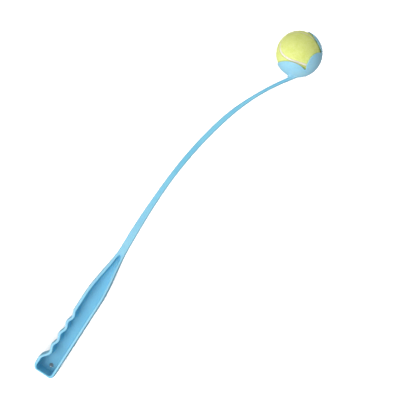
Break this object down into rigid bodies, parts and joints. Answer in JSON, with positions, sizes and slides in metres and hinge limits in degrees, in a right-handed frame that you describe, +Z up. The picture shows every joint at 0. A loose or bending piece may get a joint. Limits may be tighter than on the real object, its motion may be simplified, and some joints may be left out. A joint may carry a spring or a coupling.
{
  "type": "dog ball launcher stick",
  "caption": "Moulded throwing stick with an open tray grip and finger grooves, a bowed springy shaft and a clawed cup that grips a felt-covered ball and lets it go in a throw.",
  "frame": {"origin": "centre of the bounding box on the surface that the stick lies on, under its butt and the ball", "axes": "+X along the handle from the butt to the cup, +Y to the finger side, +Z up out of the open tray"},
  "size_m": [0.6224, 0.1132, 0.0639],
  "materials": {
    "moulding": "satin moulded plastic, light blue",
    "core_rubber": "plain moulded rubber",
    "felt": "brushed felt, yellow-green",
    "seam_cement": "matt off-white rubber cement"
  },
  "bodies": {
    "stick": {"handle": "moulding", "shaft": "moulding", "cup": "moulding"},
    "ball": {"ball_core_upper": "core_rubber", "ball_core_lower": "core_rubber", "felt_panel_a": "felt", "felt_panel_b": "felt", "ball_seam": "seam_cement"}
  },
  "joints": [
    {"name": "ball_eject", "type": "slide", "parent": "stick", "child": "ball", "axis": [0.2078, 0.9781, 0.0066], "range_m": [0, 0.12], "deforming": ["felt_panel_a", "felt_panel_b", "ball_seam"]}
  ]
}
